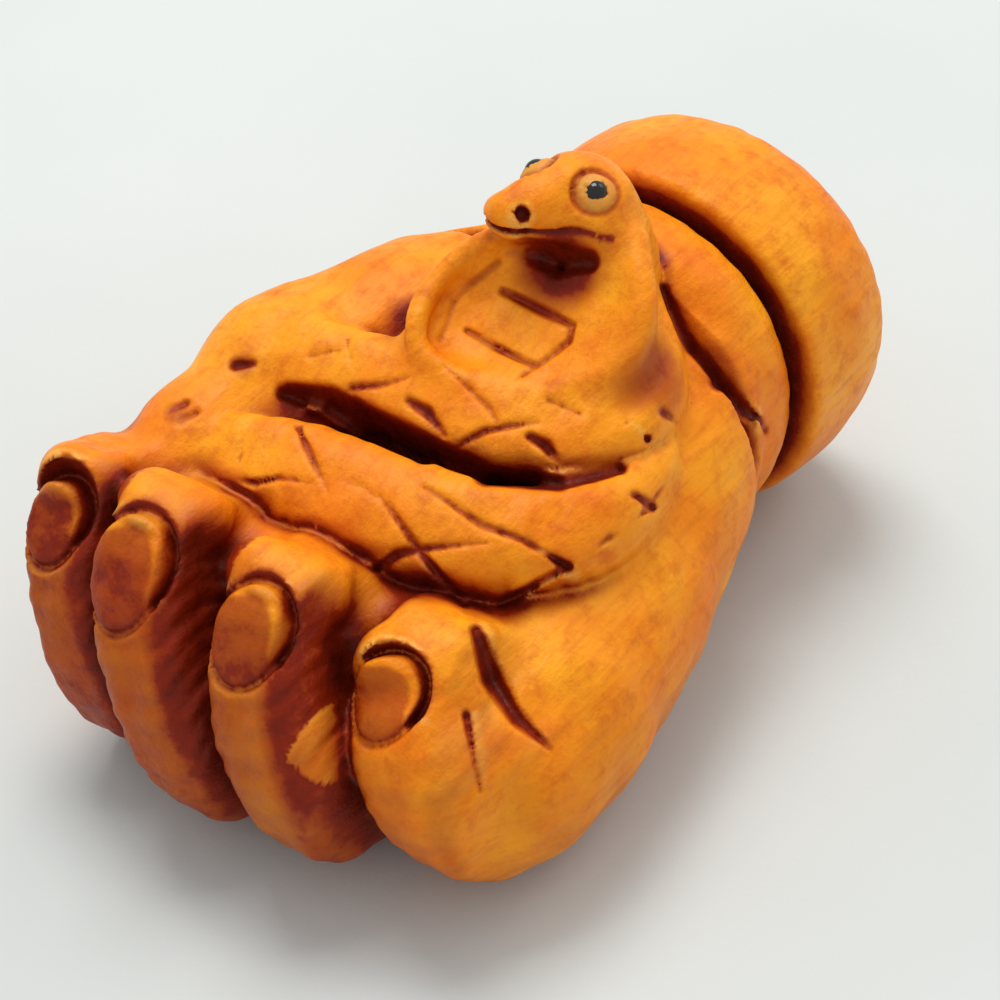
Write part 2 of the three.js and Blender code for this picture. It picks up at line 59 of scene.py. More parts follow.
PALM = {
    "y": [-20, -15, -8, 0, 6, 11],
    "middle": [-2.0, -2.0, -1.8, -1.6, -0.9, 0],
    "half_width": [13.2, 14.2, 14.2, 13.3, 11.6, 10.2],
    "under": [2.6, 0.6, -0.4, -0.3, 0.4, 1.2],
    "top": [12.0, 12.3, 12.8, 14, 17.6, 21.6],
    "squareness": 2.5,
    "start_round": 6,
    "end_round": 6,
}
LITTLE_RIM = [
    (9.6, -15.6, 6.8, 6.0),
    (9.4, -11, 7.8, 5.8),
    (8.2, -4, 8.8, 5.7),
    (5.5, 3, 11.0, 6.5),
    (2.8, 9, 13.2, 7.7),
]
THUMB_RIM = [
    (-12.0, -16, 10.6, 4.4),
    (-12.4, -10, 11.8, 4.9),
    (-11.6, -3, 13.4, 6.2),
    (-8.4, 4, 13.2, 7.0),
    (-3.8, 9, 13.0, 7.9),
]
THUMB_BALL = [
    (-13.2, -17.2, 14.0, 2.8),
    (-13.6, -12, 15.0, 3.3),
    (-13.3, -5, 16.2, 3.9),
    (-9.6, 2, 16.0, 4.6),
    (-4.8, 8, 15.2, 4.7),
]
TIP_RIDGE = [(-9.5, -16.2, 13.6, 2.6), (-2.0, -16.4, 13.2, 3.0), (5.0, -15.0, 11.6, 3.2)]
RIM_FILLET = 4
BALL_FILLET = 1.5

FINGERS = {
    "index": {"knuckle": (-11.4, 6.5), "tip_x": -15.4, "half_width": 2.3, "height": 17.6, "forward": -0.5},
    "middle": {"knuckle": (-3.9, 6.6), "tip_x": -8.6, "half_width": 2.6, "height": 18.8, "forward": -2.2},
    "ring": {"knuckle": (3.4, 7.5), "tip_x": -0.6, "half_width": 2.55, "height": 18.2, "forward": -1.9},
    "little": {"knuckle": (10.5, 8.2), "tip_x": 6.9, "half_width": 2.9, "height": 15.9, "forward": 1.0},
}
FINGER_SQUARENESS = 5.0
FINGER_GAP_FILLET = 0.3
FINGER_ROOT_FILLET = 1.2

NAILS = [
    {"centre": (-15.4, -21.9, 15.6), "half_width": 1.9, "half_height": 2.6},
    {"centre": (-8.7, -23.4, 16.6), "half_width": 2.5, "half_height": 3.4},
    {"centre": (-0.6, -23.0, 16.3), "half_width": 2.3, "half_height": 2.9},
    {"centre": (6.7, -20.7, 14.1), "half_width": 2.1, "half_height": 2.4},
]
NAIL_LEAN = math.radians(27)
NAIL_SIDE = math.radians(60)
NAIL_SEAM = {"wide": 0.3, "deep": 0.35, "reach": 2}
NAIL_TROUGH = {"wide": 1.25, "deep": 1.3, "from": 0.15}
NAIL_CROWN = 0.4
NAIL_SUNK = 0.3
NAIL_PLATE = 0.7
NAIL_EDGE = 0.12
NAIL_ROOM = 6
FINGERTIPS = [
    [(-15.9, -19.8, 17.5, 1.7), (-13.9, -19.2, 17.3, 1.6)],
    [(-10.4, -19.2, 17.8, 1.8), (-7.5, -18.7, 17.6, 1.7)],
    [(-2.6, -19.5, 17.1, 1.8), (0.8, -18.8, 16.4, 1.7)],
    [(5.6, -19.0, 14.8, 1.8), (8.9, -17.6, 13.6, 1.8)],
]
FINGERTIP_FILLET = 0.8

BAND = {
    "y": [8.0, 9.4, 12, 14.6],
    "middle": [0, 0, 0, 0],
    "half_width": [9.0, 10.3, 11.0, 10.2],
    "under": [2.6, 1.0, 0.7, 1.4],
    "top": [21.2, 22.8, 23.2, 22.4],
    "squareness": 2.1,
    "start_round": 1.2,
    "end_round": 0.8,
}
CUFF = {
    "y": [14.5, 16.4, 20, 23, 25.6],
    "middle": [0, 0, 0, 0, 0],
    "half_width": [11.7, 11.9, 12.0, 11.5, 10.2],
    "under": [0.4, -0.2, -0.4, 0.3, 1.6],
    "top": [23.7, 24.0, 23.9, 23.1, 21.6],
    "squareness": 2.05,
    "start_round": 0.5,
    "end_round": 3.2,
}
BAND_FILLET = 0.3
CUFF_FILLET = 0.15
HEEL_CREASE = {"y": 8.2, "wide": 0.8, "deep": 1.3, "from": 9, "fade": 4}
CUFF_GROOVE = {"y": 14.5, "wide": 0.6, "deep": 0.9}

# %% Sizes of the cobra
COBRA = [
    (-15.6, -14.2, 14.6, 0.8),
    (-12.4, -12.9, 15.6, 1.9),
    (-7.4, -11.7, 16.0, 2.9),
    (-1.8, -11.2, 15.7, 3.4),
    (3.4, -9.9, 15.5, 3.6),
    (7.4, -6.8, 15.6, 3.2),
    (9.0, -3.0, 15.7, 2.6),
    (8.2, 0.8, 15.7, 2.4),
    (4.0, 4.4, 16.0, 2.4),
    (-3, 4.6, 16.6, 2.4),
    (-9.0, 1.0, 17.4, 2.6),
    (-13.0, -2.6, 17.6, 2.6),
    (-10.8, -5.2, 18.0, 2.7),
    (-5.0, -4.7, 18.2, 2.9),
    (0.4, -4.0, 18.0, 3.0),
    (4.4, -2.2, 17.9, 2.9),
    (6.6, 0.4, 18.1, 2.7),
    (6.9, 2.6, 18.4, 2.5),
    (5.6, 4.8, 18.8, 2.4),
    (3.6, 6.2, 19.8, 2.5),
    (2.2, 6.8, 21.6, 2.6),
    (1.5, 6.8, 24, 2.8),
    (0.7, 6.7, 26.0, 2.6),
]
COBRA_STEPS = 4
COIL_TOP = (0.0, -0.45, 0.893)
COIL_SIDE = (0.27, -0.86, -0.433)
COIL_SQUARENESS = 2.9
COIL_CORE = [(-7.5, 0.5, 14.0, 4.6), (-2.0, 1.5, 14.6, 5.0), (4.0, 1.8, 14.6, 4.8)]
COIL_FILLET = 0.3

HOOD = [
    (-1.2, -4.2, 20.9, 0.6, -3.0, 19.8, 3.7, -1.9, 20.4),
    (-3.4, -4.1, 21.9, 0.6, -1.5, 20.2, 5.1, -0.7, 21.0),
    (-4.5, -2.9, 22.9, 0.6, -0.2, 20.7, 6.1, 0.3, 21.6),
    (-5.0, -0.9, 23.6, 0.6, 1.3, 21.4, 6.7, 1.4, 22.4),
    (-4.7, 0.6, 24.3, 0.6, 2.8, 22.1, 6.5, 2.6, 23.3),
    (-4.1, 1.9, 25.0, 0.5, 4.4, 23.0, 6.2, 3.7, 24.3),
    (-3.2, 2.9, 25.6, 0.3, 6.0, 24.2, 5.3, 4.8, 25.3),
    (-2.3, 3.9, 26.0, 0.3, 6.8, 25.4, 3.7, 6.4, 26.1),
]
HOOD_STEPS = 3
HOOD_SKIN = {
    "radius": 0.8,
    "left_rim": 0.62,
    "right_rim": 0.5,
    "fillet": 0.4,
    "rim_fillet": 0.15,
    "sunk": 1.5,
}
HOOD_FLOOR = {"left": 0.35, "left_rise": -0.1, "right": 0.5, "right_rise": 0.6, "foot": 15}

HEAD_CENTRE = (-0.8, 5.9, 27.5)
HEAD_TURN = math.radians(-24)
SKULL = {"centre": (0, 0.7, 0), "radii": (2.75, 3.2, 2.1)}
SNOUT = [(0, 0, 0.1, 2.1), (0, -3.4, 0.15, 1.5)]
JAW = [(0, 1.2, -1.3, 1.9), (0, -2.5, -0.95, 1.0)]
CHEEK = {"point": (0.9, -2.6, 1.75), "facing": (0.62, -0.2, 0.76), "fillet": 0.5}
MOUTH = {
    "v": [-5.5, -4.0, -2.2, -0.5, 0.9],
    "w": [0.1, -0.1, -0.4, -0.2, -0.6],
    "wide": 0.26,
    "deep": 0.6,
    "fade": 2,
}
NOSTRIL = {"place": (1.05, -3.3, 0.75), "radius": 0.42}
EAR_DOT = {"place": (3.1, 0.9, -1.0), "radius": 0.36}
EYE_RING = {"radius": 1.3, "wide": 0.28, "deep": 0.4}
EYE_LID = {"radius": 1.15, "inwards": 0.8, "sunk": 0.35, "fillet": 0.3}
SNOUT_FILLET = 1.2
MOUTH_FILLET = 0.2
NECK_FILLET = 1.0
HOOD_FILLET = 0.8

EYE = {"radius": 0.75, "gap": -0.12}
EYE_PLACES = {"near_eye": (1.95, 0.9, 1.25), "far_eye": (-1.55, -0.75, 1.1)}
CORD_HOLES = {"radius": 1.6, "spread": 8, "depth": 2.6, "middle": (-1.5, -2), "points": 9}

# %% [markdown]
# ## The distance field
# Two forms join by the smaller of their distances, and a small fillet rounds the corner between them. Points
# come as three arrays, x, y and z, for one tile of space at a time, so a form that is far from the tile is
# skipped.

# %% Joining, trimming and interpolating
FAR = 50.0
REACH = 7.0
TINY = 1e-6


def joined(a, b, fillet):
    blend = np.maximum(fillet - np.abs(a - b), 0) / fillet
    return np.minimum(a, b) - blend * blend * fillet * 0.25


def trimmed(a, b, fillet):
    return -joined(-a, -b, fillet)


def clamp01(t):
    return np.clip(t, 0, 1)


def length(x, y, z):
    return np.sqrt(x * x + y * y + z * z)


def is_far(P, points, room=REACH):
    """True if no point of the tile comes within room of the points' box."""
    corners = np.asarray(points, float)
    low, high = corners.min(0) - room, corners.max(0) + room
    return any(P[i].max() < low[i] or P[i].min() > high[i] for i in range(3))


def off_line(P, p, q):
    """How far along the line from p to q the nearest place is, from 0 to 1, and the offset from it."""
    along = [q[i] - p[i] for i in range(3)]
    off = [P[i] - p[i] for i in range(3)]
    t = clamp01(sum(o * a for o, a in zip(off, along)) / sum(a * a for a in along))
    return t, [o - t * a for o, a in zip(off, along)]


def bar(P, p, q, measure=length):
    """A bar from p to q, each x, y, z and radius, which is round unless another measure is given."""
    t, off = off_line(P, p, q)
    return measure(*off) - p[3] - (q[3] - p[3]) * t


def chain(P, rows, fillet):
    d = bar(P, rows[0], rows[1])
    for p, q in zip(rows[1:-1], rows[2:]):
        d = joined(d, bar(P, p, q), fillet) if fillet else np.minimum(d, bar(P, p, q))
    return d


def smooth_rows(rows, steps):
    """A smooth curve through rows of numbers, with that many points on each span."""
    rows = np.array(rows, float)
    ends = np.vstack([2 * rows[0] - rows[1], rows, 2 * rows[-1] - rows[-2]])
    out = []
    for i in range(1, len(ends) - 2):
        a, b, c, d = ends[i - 1 : i + 3]
        for t in np.arange(steps) / steps:
            cubic = 3 * b - a - 3 * c + d
            out.append(0.5 * (2 * b + (c - a) * t + (2 * a - 5 * b + 4 * c - d) * t**2 + cubic * t**3))
    return np.array(out + [rows[-1]])


def between(y, stations, values):
    """A value between stations, smooth through each of them."""
    stations, values = np.array(stations, float), np.array(values, float)
    slopes = np.gradient(values, stations)
    y = np.clip(y, stations[0], stations[-1])
    i = np.clip(np.searchsorted(stations, y) - 1, 0, len(stations) - 2)
    h = stations[i + 1] - stations[i]
    t = (y - stations[i]) / h
    t2, t3 = t**2, t**3
    left = (2 * t3 - 3 * t2 + 1) * values[i] + (t3 - 2 * t2 + t) * h * slopes[i]
    return left + (3 * t2 - 2 * t3) * values[i + 1] + (t3 - t2) * h * slopes[i + 1]


def lofted(P, form):
    """A body whose rounded-square section changes from station to station along y."""
    x, y, z = P
    half_width, under, top, middle = (
        between(y, form["y"], form[key]) for key in ("half_width", "under", "top", "middle")
    )
    half_height = (top - under) / 2
    across = np.abs(x - middle) / half_width
    upward = np.abs(z - (top + under) / 2) / half_height
    n = form["squareness"]
    side = ((across**n + upward**n) ** (1 / n) - 1) * np.minimum(half_width, half_height)
    start = trimmed(side, form["y"][0] - y, form["start_round"])
    return trimmed(start, y - form["y"][-1], form["end_round"])


# %% [markdown]
# ## The hand
# Each finger is a rod with a rounded-square section that follows its bends: out from the palm, up over the
# knuckle and back in over the coils.

# %% Fingers, nails, wrist and cuff
def finger_bends(finger):
    (knuckle_x, knuckle_z), tip_x, half_width, height, forward = finger.values()
    bends = [
        (-12, 6.4, knuckle_x, 4.6, 1.1),
        (-17.5, knuckle_z - 1.9, knuckle_x, 4.6, 1.05),
        (-20.6, knuckle_z, knuckle_x, 4.1, 1.0),
        (-20.8, 10.6, (knuckle_x + tip_x) / 2, 3.6, 1.0),
        (-19.4, height - 3.7, tip_x + 0.2, 3.1, 0.98),
        (-18.6, height - 1.8, tip_x, 2.1, 0.94),
        (-16.9, height - 2.3, tip_x, 2.6, 0.92),
        (-13, height - 6.5, tip_x, 2.8, 0.9),
    ]
    return smooth_rows([(y + forward, z, x, thick, share) for y, z, x, thick, share in bends], 4)


FINGER_BENDS = {name: finger_bends(finger) for name, finger in FINGERS.items()}


def finger_distance(P, name):
    bends = FINGER_BENDS[name]
    if is_far(P, bends[:, [2, 0, 1]]):
        return np.full_like(P[0], FAR)
    x, y, z = P
    n = FINGER_SQUARENESS
    d = np.full_like(x, FAR)
    for a, b in zip(bends[:-1], bends[1:]):
        dy, dz = b[0] - a[0], b[1] - a[1]
        t = clamp01(((y - a[0]) * dy + (z - a[1]) * dz) / (dy * dy + dz * dz))
        thick = a[3] + (b[3] - a[3]) * t
        wide = FINGERS[name]["half_width"] * (a[4] + (b[4] - a[4]) * t)
        off = length(0, y - a[0] - t * dy, z - a[1] - t * dz) / thick
        across = np.abs(x - a[2] - t * (b[2] - a[2])) / wide
        size = (off**n + across**n) ** (1 / n) - 1
        d = np.minimum(d, size * np.minimum(thick, wide))
    return d


def nail_frame(P, nail):
    """Where each point lies: its x from the nail's middle, how far it is out of the nail's plane and past its
    edge, and the trough's share and width there.
    """
    x, y, z = (P[i] - nail["centre"][i] for i in range(3))
    up = y * math.sin(NAIL_LEAN) + z * math.cos(NAIL_LEAN)
    out = z * math.sin(NAIL_LEAN) - y * math.cos(NAIL_LEAN)
    a, b = nail["half_width"], nail["half_height"]
    edge = (length(0, x / a, up / b) - 1) * min(a, b)
    share = clamp01(np.cos(np.arctan2(up, x) - NAIL_SIDE))
    return x, out, edge, share, NAIL_TROUGH["wide"] * share**1.5


def with_nail(P, d, nail):
    """The finger with a crescent trough cut over the nail's free edge and a seam round its plate."""
    x, out, edge, share, wide = nail_frame(P, nail)
    wide = np.where(share > NAIL_TROUGH["from"], wide, -FAR)
    floor = -NAIL_TROUGH["deep"] * share * clamp01(1 - edge / np.maximum(wide, TINY))
    cut = np.maximum(np.maximum(-edge, edge - wide), floor - out)
    seam = clamp01(1 - np.abs(edge) / NAIL_SEAM["wide"]) * clamp01(NAIL_SEAM["reach"] - np.abs(out))
    crown = out + NAIL_CROWN * (x / nail["half_width"]) ** 2 - NAIL_CROWN / 2 + NAIL_SUNK
    plate = trimmed(edge, np.maximum(crown, -crown - NAIL_PLATE), NAIL_EDGE)
    return np.minimum(np.maximum(d, -cut), plate) + NAIL_SEAM["deep"] * seam


def hand_distance(P):
    y, z = P[1], P[2]
    d = lofted(P, PALM)
    for rows, blend, fillet in (
        (LITTLE_RIM, 3, RIM_FILLET),
        (THUMB_RIM, 3, RIM_FILLET),
        (THUMB_BALL, 2, BALL_FILLET),
        (TIP_RIDGE, 2, BALL_FILLET),
        (COIL_CORE, 2, BALL_FILLET),
    ):
        if not is_far(P, [row[:3] for row in rows], 3 * REACH):
            d = joined(d, chain(P, rows, blend), fillet)
    curled = np.full_like(y, FAR)
    for name in FINGERS:
        curled = joined(curled, finger_distance(P, name), FINGER_GAP_FILLET)
    d = joined(d, curled, FINGER_ROOT_FILLET)
    for rows in FINGERTIPS:
        if not is_far(P, [row[:3] for row in rows]):
            d = joined(d, chain(P, rows, 0), FINGERTIP_FILLET)
    for nail in NAILS:
        if not is_far(P, [nail["centre"]], NAIL_ROOM):
            d = with_nail(P, d, nail)
    d = joined(d, lofted(P, BAND), BAND_FILLET)
    crease = clamp01(1 - np.abs(y - HEEL_CREASE["y"]) / HEEL_CREASE["wide"])
    d = d + HEEL_CREASE["deep"] * crease * clamp01((z - HEEL_CREASE["from"]) / HEEL_CREASE["fade"])
    d = joined(d, lofted(P, CUFF), CUFF_FILLET)
    return d + CUFF_GROOVE["deep"] * clamp01(1 - np.abs(y - CUFF_GROOVE["y"]) / CUFF_GROOVE["wide"])


# %% [markdown]
# ## The cobra
# The body is a tube whose radius changes along its route. The hood is a dish between two rims, and the wood
# stands solid below it.

# %% Body, hood and head
COBRA_ROUTE = smooth_rows(COBRA, COBRA_STEPS)


def foot_of(rim, floor, side):
    share, rise = HOOD_FLOOR[side], HOOD_FLOOR[side + "_rise"]
    height = floor[2] + rise * (rim[2] - floor[2])
    return (rim[0] + (floor[0] - rim[0]) * share, rim[1] + (floor[1] - rim[1]) * share, height)


def hood_row(row):
    left, floor, right = row[:3], row[3:6], row[6:]
    sunk = left - (0, 0, HOOD_SKIN["sunk"])
    return np.array([left, sunk, foot_of(left, floor, "left"), foot_of(right, floor, "right"), right])


HOOD_ROWS = [hood_row(row) for row in smooth_rows(HOOD, HOOD_STEPS)]


def wall(P, p, q, radius):
    """A bar with all the wood below it."""
    x, y, z = P
    dx, dy = q[0] - p[0], q[1] - p[1]
    t = clamp01(((x - p[0]) * dx + (y - p[1]) * dy) / (dx * dx + dy * dy))
    above = np.maximum(z - p[2] - t * (q[2] - p[2]), 0)
    d = length(x - p[0] - t * dx, y - p[1] - t * dy, above) - radius
    return np.maximum(d, HOOD_FLOOR["foot"] - z)


def hood_distance(P):
    corners = np.vstack(HOOD_ROWS)
    if is_far(P, np.vstack([corners, corners * (1, 1, 0) + (0, 0, HOOD_FLOOR["foot"])])):
        return np.full_like(P[0], FAR)
    skin = np.full_like(P[0], FAR)
    for row in HOOD_ROWS:
        for p, q in zip(row[1:-1], row[2:]):
            skin = joined(skin, wall(P, p, q, HOOD_SKIN["radius"]), HOOD_SKIN["fillet"])
    rim = np.full_like(P[0], FAR)
    for here, after in zip(HOOD_ROWS[:-1], HOOD_ROWS[1:]):
        rim = np.minimum(rim, wall(P, here[0], after[0], HOOD_SKIN["left_rim"]))
        rim = np.minimum(rim, wall(P, here[-1], after[-1], HOOD_SKIN["right_rim"]))
    return joined(skin, rim, HOOD_SKIN["rim_fillet"])


def to_head(P):
    """Points in the head's own frame, where -y is forward."""
    x, y = P[0] - HEAD_CENTRE[0], P[1] - HEAD_CENTRE[1]
    c, s = math.cos(HEAD_TURN), math.sin(HEAD_TURN)
    return x * c + y * s, y * c - x * s, P[2] - HEAD_CENTRE[2]


def from_head(u, v, w):
    c, s = math.cos(HEAD_TURN), math.sin(HEAD_TURN)
    return np.array([HEAD_CENTRE[0] + u * c - v * s, HEAD_CENTRE[1] + u * s + v * c, HEAD_CENTRE[2] + w])


def egg(P, centre, radii):
    u, v, w = ((P[i] - centre[i]) / radii[i] for i in range(3))
    size = length(u, v, w)
    return size * (size - 1) / np.maximum(length(u / radii[0], v / radii[1], w / radii[2]), TINY)


def head_distance(P):
    if is_far(P, [HEAD_CENTRE], REACH + SKULL["radii"][1]):
        return np.full_like(P[0], FAR)
    u, v, w = to_head(P)
    Q = [np.abs(u), v, w]
    upper = joined(egg(Q, SKULL["centre"], SKULL["radii"]), chain(Q, SNOUT, 0), SNOUT_FILLET)
    cheek = sum(n * (q - c) for n, q, c in zip(CHEEK["facing"], Q, CHEEK["point"]))
    upper = trimmed(upper, cheek, CHEEK["fillet"])
    d = joined(upper, chain(Q, JAW, 0), MOUTH_FILLET)
    mouth = clamp01(1 - np.abs(w - between(v, MOUTH["v"], MOUTH["w"])) / MOUTH["wide"])
    d = d + MOUTH["deep"] * mouth * clamp01(MOUTH["fade"] * (MOUTH["v"][-1] - v))
    for pit in (NOSTRIL, EAR_DOT):
        away = length(*(q - c for q, c in zip(Q, pit["place"])))
        d = np.maximum(d, pit["radius"] - away)
    for place in EYE_PLACES.values():
        away = length(u - place[0], v - place[1], w - place[2])
        lid = length(u - place[0] * EYE_LID["inwards"], v - place[1], w - place[2] + EYE_LID["sunk"])
        d = joined(d, lid - EYE_LID["radius"], EYE_LID["fillet"])
        d = d + EYE_RING["deep"] * clamp01(1 - np.abs(away - EYE_RING["radius"]) / EYE_RING["wide"])
    return d


COIL_AXES = np.array([COIL_TOP, COIL_SIDE, np.cross(COIL_TOP, COIL_SIDE)])


def squared_length(x, y, z):
    """The offset measured so that its bar has a flat top, flat sides and a ridge between."""
    n = COIL_SQUARENESS
    return sum(np.abs(a * x + b * y + c * z) ** n for a, b, c in COIL_AXES) ** (1 / n)


def body_distance(P):
    d = np.full_like(P[0], FAR)
    for p, q in zip(COBRA_ROUTE[:-1], COBRA_ROUTE[1:]):
        if not is_far(P, [p[:3], q[:3]]):
            d = np.minimum(d, bar(P, p, q, squared_length))
    return d


def cobra_distance(P):
    raised = joined(hood_distance(P), head_distance(P), HOOD_FILLET)
    return joined(body_distance(P), raised, NECK_FILLET)


# %% [markdown]
# ## Gouge cuts
# The last tool is a V gouge. Each cut is a short line on the wood, with its half width at each point, and its
# walls slope alike, so a wide cut is also a deep one. A wide start and a fine end give the wedge that the
# tool leaves. The distance along the gouge's own lean counts for little, so a cut reaches the surface even
# where its line lies a little above it.

# %% Gouge cuts
GOUGE_LEAN = (0.30, -0.58, 0.757)
GOUGE_ALONG = 0.85
GOUGE_SLOPE = 1.3
GOUGE_ROOM = 2

COIL_CUTS = [
    [(-5.9, -7.1, 19.9, 0.3), (-4.4, -6.5, 20.4, 0.28), (-3.1, -5.5, 21.0, 0.15)],
    [(-2.4, -6.5, 20.3, 0.35), (-1.1, -6.5, 20.1, 0.5), (0.4, -6.8, 19.3, 0.2)],
    [(1.2, -6.8, 18.9, 0.2), (2.3, -5.8, 19.9, 0.3), (3.4, -4.9, 20.2, 0.3), (4.6, -3.9, 20.4, 0.15)],
    [(4.5, -4.7, 19.9, 0.35), (5.4, -4.4, 19.5, 0.5), (6.5, -4.2, 18.3, 0.2)],
    [(-1.5, -4.3, 21.7, 0.15), (-0.2, -4.3, 21.1, 0.2), (1.9, -4.8, 20.7, 0.25), (2.6, -5.1, 20.4, 0.2)],
    [(4.3, -2.6, 20.9, 0.2), (6.3, -2.1, 20.5, 0.12)],
    [(8.3, -0.7, 19.9, 0.2), (9.2, -0.1, 18.9, 0.4)],
    [(9.2, 1.6, 19.6, 0.35), (9.5, 2.6, 18.4, 0.2)],
    [(-9.2, -6.8, 20.4, 0.2), (-7.8, -5.8, 20.9, 0.15)],
    [(-7.9, -4.9, 20.9, 0.2), (-6.8, -6.0, 20.8, 0.15)],
    [
        (-8.0, -14.4, 17.0, 0.25),
        (-7.0, -14.3, 17.3, 0.28),
        (-5.8, -13.8, 18.0, 0.25),
        (-3.7, -13.4, 18.4, 0.12),
    ],
    [(-6.8, -10.8, 18.9, 0.3), (-4.5, -12.4, 18.9, 0.3), (-2.7, -13.4, 18.4, 0.15)],
    [(0.1, -12.4, 18.8, 0.15), (1.7, -12.9, 18.3, 0.3), (3.5, -13.3, 17.2, 0.35), (6.5, -13.4, 15.0, 0.25)],
    [(1.9, -10.7, 19.1, 0.2), (5.8, -10.8, 18.5, 0.3), (7.6, -10.0, 17.9, 0.3), (9.9, -8.7, 16.2, 0.5)],
    [(1.4, -14.5, 15.7, 0.3), (2.4, -13.8, 16.8, 0.4), (3.4, -13.3, 17.3, 0.35), (7.0, -10.7, 17.8, 0.15)],
    [(7.6, -11.7, 14.3, 0.25), (9.8, -8.9, 16.0, 0.3)],
    [(10.0, -4.3, 18.1, 0.2), (10.6, -3.3, 17.7, 0.3), (11.3, -2.7, 16.9, 0.4)],
    [(-8.6, -13.9, 17.8, 0.15), (-9.5, -12.2, 18.5, 0.12)],
    [(-2.3, -12.5, 18.8, 0.12), (-0.8, -12.4, 18.8, 0.15), (0.7, -12.7, 18.6, 0.12)],
]
HOOD_CUTS = [
    [(-1.9, 1.7, 23.1, 0.35), (0.8, 1.6, 23.0, 0.42), (3.1, 1.5, 23.0, 0.3)],
    [(3.1, 1.5, 23.0, 0.25), (3.4, 0.7, 22.5, 0.28), (2.5, -1.3, 21.5, 0.2), (2.1, -2.6, 21.2, 0.15)],
    [(-2.4, -1.1, 21.8, 0.25), (0.0, -1.2, 21.6, 0.32), (2.4, -1.2, 21.5, 0.22)],
]
PALM_CUTS = [
    [(8.7, -15.4, 15.9, 0.4), (10.3, -16.2, 13.9, 0.7), (12.3, -16.6, 12.4, 0.5), (14.4, -16.4, 11.2, 0.15)],
    [(10.7, -19.0, 13.8, 0.25), (13.0, -20.8, 11.0, 0.15)],
    [(-13.0, -8.9, 19.3, 0.45), (-12.2, -8.2, 19.3, 0.3)],
    [(-14.0, -13.6, 18.6, 0.2), (-13.6, -12.6, 18.7, 0.35)],
    [(-13.0, -13.8, 18.5, 0.2), (-12.7, -12.8, 18.6, 0.3)],
    [(-9.9, -8.6, 18.6, 0.5), (-8.8, -8.1, 18.4, 0.6)],
]
# The deep cuts are the groove between the coils, the lower coil's lower edge, the hood's left rim, the throat
# under the chin and a line by the heel. Their depth also darkens them, which in the groove, under the coil
# and in the throat is painted shade.
DEEP_CUTS = [
    [
        (-9.7, -8.1, 18.5, 0.5),
        (-7.1, -7.8, 18.9, 0.9),
        (-3.7, -7.5, 18.2, 1.1),
        (-0.4, -7.2, 17.8, 1.1),
        (3.8, -7.4, 18.4, 0.9),
        (7.4, -5.8, 18.7, 0.7),
        (9.1, -2.5, 18.3, 0.5),
    ],
    [(10.1, -8.5, 15.9, 0.15), (10.9, -6.0, 16.8, 0.25), (11.3, -3.1, 16.9, 0.25), (10.9, -0.4, 17.0, 0.15)],
    [(-2.5, 2.1, 24.7, 0.3), (-3.4, 0.7, 23.7, 0.32), (-3.7, -0.7, 23.2, 0.3), (-3.1, -2.7, 21.8, 0.2)],
    [(-1.0, 3.0, 25.5, 0.6), (0.6, 3.8, 24.9, 1.0), (2.3, 4.2, 25.4, 0.7)],
    [
        (4.1, 9.0, 21.4, 0.3),
        (7.1, 7.7, 19.2, 0.6),
        (8.8, 8.2, 17.0, 0.75),
        (10.3, 8.7, 15.5, 0.6),
        (10.9, 10.2, 13.3, 0.3),
    ],
]
CUTS = COIL_CUTS + HOOD_CUTS + PALM_CUTS + DEEP_CUTS


def cut_depth(P):
    """How deep the gouge has taken the wood away at each point."""
    depth = np.zeros_like(P[0])
    for rows in CUTS:
        if is_far(P, [row[:3] for row in rows], GOUGE_ROOM):
            continue
        for p, q in zip(rows[:-1], rows[1:]):
            t, off = off_line(P, p, q)
            lean = GOUGE_ALONG * sum(o * g for o, g in zip(off, GOUGE_LEAN))
            away = length(*(o - lean * g for o, g in zip(off, GOUGE_LEAN)))
            half_width = p[3] + (q[3] - p[3]) * t
            depth = np.maximum(depth, GOUGE_SLOPE * (half_width - away))
    return depth


# %% Knife marks
MARKS = {"depth": 0.05, "waves": 9, "shortest": 1.6, "longest": 5.0, "seed": 4}


def knife_waves():
    """Crossing waves of different lengths, whose sum is the uneven skin that a knife leaves."""
    random = np.random.default_rng(MARKS["seed"])
    waves = []
    for wavelength in np.geomspace(MARKS["shortest"], MARKS["longest"], MARKS["waves"]):
        way = random.normal(size=3)
        turns = 2 * math.pi / wavelength * way / np.linalg.norm(way)
        waves.append((*turns, random.uniform(0, 2 * math.pi)))
    return waves


KNIFE_WAVES = knife_waves()


def knife_marks(P):
    total = sum(np.sin(a * P[0] + b * P[1] + c * P[2] + shift) for a, b, c, shift in KNIFE_WAVES)
    return MARKS["depth"] / math.sqrt(MARKS["waves"]) * total


# %% The whole carving
def tunnel_rows():
    """The cord's tunnel: an arc that dips into the palm's back from one opening to the other."""
    half, depth = CORD_HOLES["spread"] / 2, CORD_HOLES["depth"]
    x, y = CORD_HOLES["middle"]
    radius = CORD_HOLES["radius"]
    rows = []
    for t in np.linspace(0, 1, CORD_HOLES["points"]):
        rise = -radius * ((1 - t) ** 2 + t**2) + 4 * depth * t * (1 - t)
        rows.append((x, y + half * (2 * t - 1), rise, radius))
    return rows


TUNNEL = tunnel_rows()


def carving_distance(P):
    d = joined(hand_distance(P), cobra_distance(P), COIL_FILLET)
    d = d + cut_depth(P) + knife_marks(P)
    d = np.maximum(d, -P[2])
    if not is_far(P, [row[:3] for row in TUNNEL], REACH):
        d = np.maximum(d, -chain(P, TUNNEL, 0))
    for place in EYE_PLACES.values():
        centre = from_head(*place)
        if not is_far(P, [centre]):
            d = np.maximum(d, EYE["radius"] + EYE["gap"] - length(*(P[i] - centre[i] for i in range(3))))
    return d


# %% [markdown]
# ## From the field to a mesh
# The field is worked out tile by tile, and only near the surface. Then a net of quads is laid through the
# cells that the surface crosses, one point a cell.

